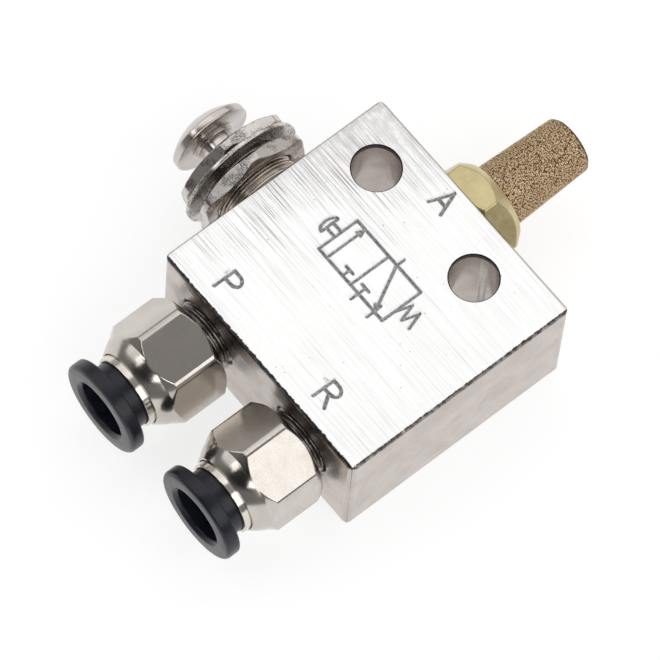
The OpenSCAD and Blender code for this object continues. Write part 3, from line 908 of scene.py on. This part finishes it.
def fitting(side):
    sweep = np.linspace(SHOULDER_END, SHOULDER_START, 8)
    shoulder = [(FITTING_SHOULDER_R + SHOULDER_ARC_R * (math.cos(t) - math.cos(SHOULDER_START)),
                 FITTING_SHOULDER + SHOULDER_ARC_R * (math.sin(t) - math.sin(SHOULDER_START)))
                for t in sweep]
    corners = [(CARTRIDGE_R, FITTING_MOUTH - 0.25), (CARTRIDGE_R + 0.14, FITTING_MOUTH)] + shoulder + [
        (FITTING_CORNER, FITTING_SHOULDER - 1.1), (FITTING_CORNER, FITTING_BACK + FITTING_BACK_CHAMFER),
        (FITTING_FLAT, FITTING_BACK, 0.05), (PIPE_THREAD_R, FITTING_BACK), *PIPE_TIP, (FLOW_R, TUBE_STOP),
        (SOCKET_R, TUBE_STOP), (SOCKET_R, CARTRIDGE_FLOOR), (CARTRIDGE_R, CARTRIDGE_FLOOR)]
    on_hex = lambda r, w: r > FITTING_FLAT - 0.6 and w > FITTING_BACK
    on_thread = lambda r, w: abs(r - PIPE_THREAD_R) < 0.01 and w <= FITTING_BACK
    outline = refined(refined(rounded(corners), 0.1, on_hex), PIPE_PITCH / 11, on_thread)

    axis = fitting_axis(side)
    cut = hexagon_and_thread(FITTING_FLAT, FITTING_TURNS[side], HEX_BLEND, 0.5, FITTING_BACK)
    obj = turned("fitting_" + side, outline, axis, 288, cut)
    obj.data.materials.append(looks["fitting_nickel"])
    obj.data.materials.append(SHADED_THREAD)
    # the thread behind the hexagon gets the painted shade of the gap
    for face in obj.data.polygons:
        if (np.array(face.center) / MM - axis.origin) @ axis.w < FITTING_BACK + 0.01:
            face.material_index = 1
    shade(obj)
    finished(obj, looks["fitting_nickel"], "fitting_nickel", "valve", "fitting_body_" + side)


def guide(side):
    corners = [(GUIDE_BORE_R, GUIDE_STEP), (GUIDE_BORE_R, GUIDE_FRONT, 0.1), (CARTRIDGE_R, GUIDE_FRONT, 0.2),
               (CARTRIDGE_R, GUIDE_BACK), (GUIDE_STEP_R, GUIDE_BACK), (GUIDE_STEP_R, GUIDE_STEP)]
    obj = turned("guide_" + side, rounded(corners), fitting_axis(side), 144)
    shade(obj)
    finished(obj, looks["guide_bright"], "guide_bright", "valve", "guide_ring_" + side)


def release(side):
    node = "release_ring_" + side
    low, high = box_mm(node)
    axis = fitting_axis(side)
    front = axis.origin[0] - low[0]
    back, flange_r = front - RELEASE_FLANGE, (high[1] - low[1]) / 2
    toe, toe_end = RELEASE_TOE
    corners = [(RELEASE_BORE_R, toe, 0.06), (RELEASE_TOE_R, toe, 0.12), (RELEASE_TOE_R, toe_end, 0.12),
               (RELEASE_BARREL_R, toe_end + 0.1), (RELEASE_BARREL_R, back, 0.3), (flange_r, back, 0.35),
               (flange_r, front, 0.6), (RELEASE_BORE_R + 0.49, front, 0.2),
               (RELEASE_BORE_R, front - 0.5, 0.3)]
    obj = turned("release_" + side, rounded(corners), axis, 144)
    shade(obj, 60)
    finished(obj, looks["release_black"], "release_black", "release_" + side, node)


# ---------------------------------------------------------------- muffler


def muffler_axis():
    centre = middle("muffler_element")
    return Axis((BLOCK_HIGH[0], centre[1], centre[2]), Y, Z, X)


def muffler_base():
    corner = MUFFLER_FLAT / math.cos(SECTOR / 2)
    corners = [(ELEMENT_R, ELEMENT_SEAT), (ELEMENT_R, MUFFLER_BASE_END - 0.12),
               (ELEMENT_R + 0.15, MUFFLER_BASE_END), (MUFFLER_END_R, MUFFLER_BASE_END, 0.35),
               (corner, MUFFLER_HEX_END), (corner, MUFFLER_BACK + 0.4), (corner - 0.5, MUFFLER_BACK),
               (PIPE_THREAD_R, MUFFLER_BACK), *PIPE_TIP, (FLOW_R, ELEMENT_SEAT)]
    on_hex = lambda r, w: r > MUFFLER_FLAT - 1.2 and w >= MUFFLER_BACK
    on_thread = lambda r, w: abs(r - PIPE_THREAD_R) < 0.01 and w <= MUFFLER_BACK
    outline = refined(refined(rounded(corners), 0.1, on_hex), PIPE_PITCH / 11, on_thread)
    cut = hexagon_and_thread(MUFFLER_FLAT, MUFFLER_TURN, MUFFLER_HEX_BLEND, 1, MUFFLER_BACK)
    obj = turned("muffler_hexagon", outline, muffler_axis(), 288, cut)
    shade(obj)
    finished(obj, looks["muffler_brass"], "muffler_brass", "valve", "muffler_base")


CAP_STEP = 0.075                        # mesh spacing along the cap
CAP_STEPS = 384                         # and round it


def scattered_balls(axis, reach):
    """Centres of the outer bronze balls, spread evenly with some disorder."""
    rng = np.random.default_rng(SEED + 1)
    slope = (ELEMENT_TIP_R - ELEMENT_R) / (reach - MUFFLER_BASE_END)
    places = []
    rows = int((reach - ELEMENT_SEAT) / ROW)
    for i in range(rows + 1):
        w = ELEMENT_SEAT + (reach - ELEMENT_SEAT) * i / rows
        r = ELEMENT_R + slope * max(0, w - MUFFLER_BASE_END)
        count = int(2 * math.pi * r / GRAIN)
        for k in range(count):
            places.append((r, 2 * math.pi * (k + i % 2 / 2) / count, w))
    for i in range(int(ELEMENT_TIP_R / ROW)):
        r = ELEMENT_TIP_R - ROW * (i + 0.6)
        count = max(1, int(2 * math.pi * r / GRAIN))
        places += [(r, 2 * math.pi * (k + i % 2 / 2) / count, reach) for k in range(count)]
    r, angle, w = np.array(places).T
    return axis.points(r, angle, w) + rng.normal(0, GRAIN * 0.15, (len(places), 3))


def muffler_cap():
    """Hollow cone whose outside is pressed in between the balls; it keeps each point's depth
    in its gap and the tone of its ball for the material."""
    axis = muffler_axis()
    reach = box_mm("muffler_element")[1][0] - axis.origin[0]
    bore, tip_bore = ELEMENT_R - ELEMENT_WALL, ELEMENT_TIP_R - ELEMENT_WALL
    corners = [(0, reach), (ELEMENT_TIP_R, reach, ELEMENT_ROUND), (ELEMENT_R, MUFFLER_BASE_END),
               (ELEMENT_R, ELEMENT_SEAT), (bore, ELEMENT_SEAT), (tip_bore, reach - ELEMENT_WALL),
               (0, reach - ELEMENT_WALL)]
    outside = lambda r, w: w > reach - 1.2 or r > ELEMENT_TIP_R - 0.05
    outline = refined(rounded(corners, closed=False, steps=8), CAP_STEP, outside, closed=False)
    obj = turned("muffler_cap", outline, axis, CAP_STEPS)

    balls = scattered_balls(axis, reach)
    tree = KDTree(len(balls))
    for i, ball in enumerate(balls):
        tree.insert(ball, i)
    tree.balance()
    rng = np.random.default_rng(SEED + 2)
    tone, size = rng.random(len(balls)), GRAIN * rng.uniform(0.56, 0.68, len(balls))
    mesh = obj.data
    count = len(mesh.vertices)
    places, normals = np.zeros(count * 3), np.zeros(count * 3)
    mesh.vertices.foreach_get("co", places)
    mesh.vertex_normals.foreach_get("vector", normals)
    places, normals = places.reshape(-1, 3) / MM, normals.reshape(-1, 3)
    out = places - axis.origin
    outer = (out @ axis.w > reach - 0.9) | (np.hypot(out @ axis.u, out @ axis.v) > ELEMENT_TIP_R - 0.5)
    gaps, tones, sink = np.zeros(count), np.zeros(count), np.zeros(count)
    for n in np.flatnonzero(outer):
        _, i, distance = tree.find(places[n])
        gaps[n], tones[n] = min(1, distance / size[i]), tone[i]
        sink[n] = size[i] * (1 - math.sqrt(1 - 0.96 * gaps[n] ** 2)) * 0.85
    mesh.vertices.foreach_set("co", ((places - normals * sink[:, None]) * MM).ravel())
    for name, values in (("gap", gaps), ("ball", tones)):
        mesh.attributes.new(name, "FLOAT", "POINT").data.foreach_set("value", values.astype(np.float32))
    shade(obj, 80, weighted=False)
    finished(obj, looks["sintered_bronze"], "sintered_bronze", "valve", "muffler_element")


def return_spring():
    """Round-wire coil with closed end turns."""
    low, high = box_mm("return_spring")
    centre = (low + high) / 2
    coil_r = (high[0] - low[0] - SPRING_WIRE) / 2
    first, last = low[1] + SPRING_WIRE / 2, high[1] - SPRING_WIRE / 2
    open_turns = SPRING_TURNS - 2
    pitch = (last - first - 2 * SPRING_WIRE) / open_turns
    count = SPRING_TURNS * SPRING_STEPS + 1
    verts = []
    for step in range(count):
        turn = step / SPRING_STEPS
        closed, opened = min(turn, 1) + max(0, turn - open_turns - 1), min(max(turn - 1, 0), open_turns)
        height = first + SPRING_WIRE * closed + pitch * opened
        out = X * math.cos(2 * math.pi * turn) + Z * math.sin(2 * math.pi * turn)
        wire_centre = np.array([centre[0], height, centre[2]]) + coil_r * out
        for side in range(SPRING_SIDES):
            angle = 2 * math.pi * side / SPRING_SIDES
            verts.append(wire_centre + SPRING_WIRE / 2 * (math.cos(angle) * out + math.sin(angle) * Y))
    faces = [tuple(range(SPRING_SIDES)), tuple(range((count - 1) * SPRING_SIDES, count * SPRING_SIDES))]
    for step in range(count - 1):
        for side in range(SPRING_SIDES):
            after = (side + 1) % SPRING_SIDES
            near, far = step * SPRING_SIDES, (step + 1) * SPRING_SIDES
            faces.append((near + side, near + after, far + after, far + side))
    obj = solid_object("return_spring_coil", verts, faces)
    shade(obj)
    finished(obj, looks["spring_steel"], "spring_steel", "valve", "return_spring")
    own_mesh(obj)


# ---------------------------------------------------------------- assembly

block()
neck()
nut("panel_nut_inner")
nut("panel_nut_outer")
washer()
button()
for side in ("p", "r"):
    fitting(side)
    guide(side)
    release(side)
muffler_base()
muffler_cap()
return_spring()

for part in frame["record"]["subparts"]:
    node = frame["nodes"][part["node"]]
    if not node.hide_render:
        node.data.materials.clear()
        node.data.materials.append(looks[part["material_slot"]])


# ---------------------------------------------------------------- studio

# Lights: offset from the object's middle, width and height in metres, and power in watts
LIGHTS = {
    "soft_box_left": ((0.25, 0.58, 0.89), 3.2, 1.05, 10.8),
    "soft_box_right": ((0.10, -0.87, 0.81), 1.9, 0.85, 8.3),
    "lamp_front_right": ((-0.66, -0.53, 0.72), 0.24, 0.24, 0.60),
    "lamp_front_left": ((-0.70, 0.36, 0.80), 0.26, 0.26, 0.38),
}
# Greys of the room by height, from the horizon to straight above
ROOM = ((0.12, 0.22), (0.42, 0.22), (0.55, 0.02), (0.8, 0.03), (0.93, 0.3))
ROOM_LOW = (0.25, 0.25, 0.25)
ROOM_HIGH = (0.34, 0.33, 0.32)
GLOW_TOWARDS = (0.62, 0.78)             # a low, pale window behind the object
GLOW_COLOUR = (0.48, 0.47, 0.45)
BACKDROP = (0.95, 0.95, 0.95)           # what the camera sees past the floor
FLOOR_HALF = 2.0
FLOOR_GAP = 0.0002
FLOOR_GLOW = 0.79

# Camera: angles in degrees, and distances in millimetres from the block's middle
CAMERA_ANGLES = (-44.886, 66.231, 6.149)
CAMERA_DISTANCE = 902.753
CAMERA_ASIDE = -4.347
CAMERA_ABOVE = -2.370
CAMERA_LENS = 381.818                   # a long lens, for a sensor 36 mm wide


def lights():
    """Flat lights that face the object and are seen in the metal's reflections."""
    low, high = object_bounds()
    aim = (low + high) / 2
    for name, (offset, width, height, energy) in LIGHTS.items():
        light = bpy.data.lights.new(name, "AREA")
        light.shape, light.size, light.size_y, light.energy = "RECTANGLE", width, height, energy
        obj = new_object(name, light)
        place = aim + Vector(offset)
        obj.location = place
        obj.rotation_euler = (Vector(aim) - Vector(place)).to_track_quat("-Z", "Y").to_euler()


def room():
    """Grey surroundings that are dark half way up, with a pale glow low on one side."""
    world = bpy.data.worlds.new("studio")
    bpy.context.scene.world = world
    graph = Graph(world, "Generated")
    at = graph.position()
    ramp = graph.nodes.new("ShaderNodeValToRGB")
    graph.links.new(at["Z"], ramp.inputs[0])
    ramp.color_ramp.elements[0].color = (*ROOM_LOW, 1)
    ramp.color_ramp.elements[1].color = (*ROOM_HIGH, 1)
    for height, grey in ROOM:
        ramp.color_ramp.elements.new(height).color = (grey, grey, grey, 1)
    towards = graph.math("ADD", graph.times(at["X"], GLOW_TOWARDS[0]), graph.times(at["Y"], GLOW_TOWARDS[1]))
    glow = graph.times(graph.spread(towards, 0.4, 0.75), graph.spread(at["Z"], 0.5, 0.3))
    seen = graph.nodes.new("ShaderNodeLightPath").outputs["Is Camera Ray"]
    colour = graph.blend(seen, graph.blend(glow, ramp.outputs["Color"], GLOW_COLOUR), BACKDROP)
    graph.links.new(colour, graph.nodes["Background"].inputs["Color"])


def pale_floor():
    """White paper that glows a little, and is clear from below so that the underside shows."""
    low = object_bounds()[0]
    mesh = bpy.data.meshes.new("floor")
    corners = [(x * FLOOR_HALF, y * FLOOR_HALF, 0) for x, y in ((-1, -1), (1, -1), (1, 1), (-1, 1))]
    mesh.from_pydata(corners, [], [(0, 1, 2, 3)])
    floor = new_object("floor", mesh)
    floor.location.z = low.z - FLOOR_GAP
    paper = Look("white_paper", Base_Color=(0.3, 0.3, 0.3, 1), Roughness=0.9, Specular_IOR_Level=0.1,
                 Emission_Color=(1, 1, 1, 1), Emission_Strength=FLOOR_GLOW)
    one_sided = paper.nodes.new("ShaderNodeMixShader")
    below = paper.nodes.new("ShaderNodeNewGeometry").outputs["Backfacing"]
    clear = paper.nodes.new("ShaderNodeBsdfTransparent").outputs[0]
    for i, output in enumerate((below, paper.shader.outputs[0], clear)):
        paper.links.new(output, one_sided.inputs[i])
    paper.links.new(one_sided.outputs[0], paper.nodes["Material Output"].inputs["Surface"])
    mesh.materials.append(paper.material)


def camera():
    """Long lens from above the corner between the fittings and the plain side."""
    azimuth, elevation, roll = (math.radians(a) for a in CAMERA_ANGLES)
    back = Vector((math.sin(azimuth) * math.cos(elevation), -math.cos(azimuth) * math.cos(elevation),
                   math.sin(elevation)))
    right = Vector((math.cos(azimuth), math.sin(azimuth), 0))
    up = back.cross(right)
    across = right * math.cos(roll) + up * math.sin(roll)
    upward = up * math.cos(roll) - right * math.sin(roll)
    data = bpy.data.cameras.new("camera")
    data.sensor_width, data.lens = 36, CAMERA_LENS
    data.clip_start, data.clip_end = 0.05, 20
    obj = new_object("camera", data)
    target = Vector(BLOCK_MIDDLE) + across * CAMERA_ASIDE + upward * CAMERA_ABOVE
    obj.matrix_world = Matrix.Translation((target + back * CAMERA_DISTANCE) * MM) @ Matrix(
        (across, upward, back)).transposed().to_4x4()
    bpy.context.scene.camera = obj


lights()
room()
pale_floor()
camera()
bpy.context.scene.view_settings.view_transform = "Standard"
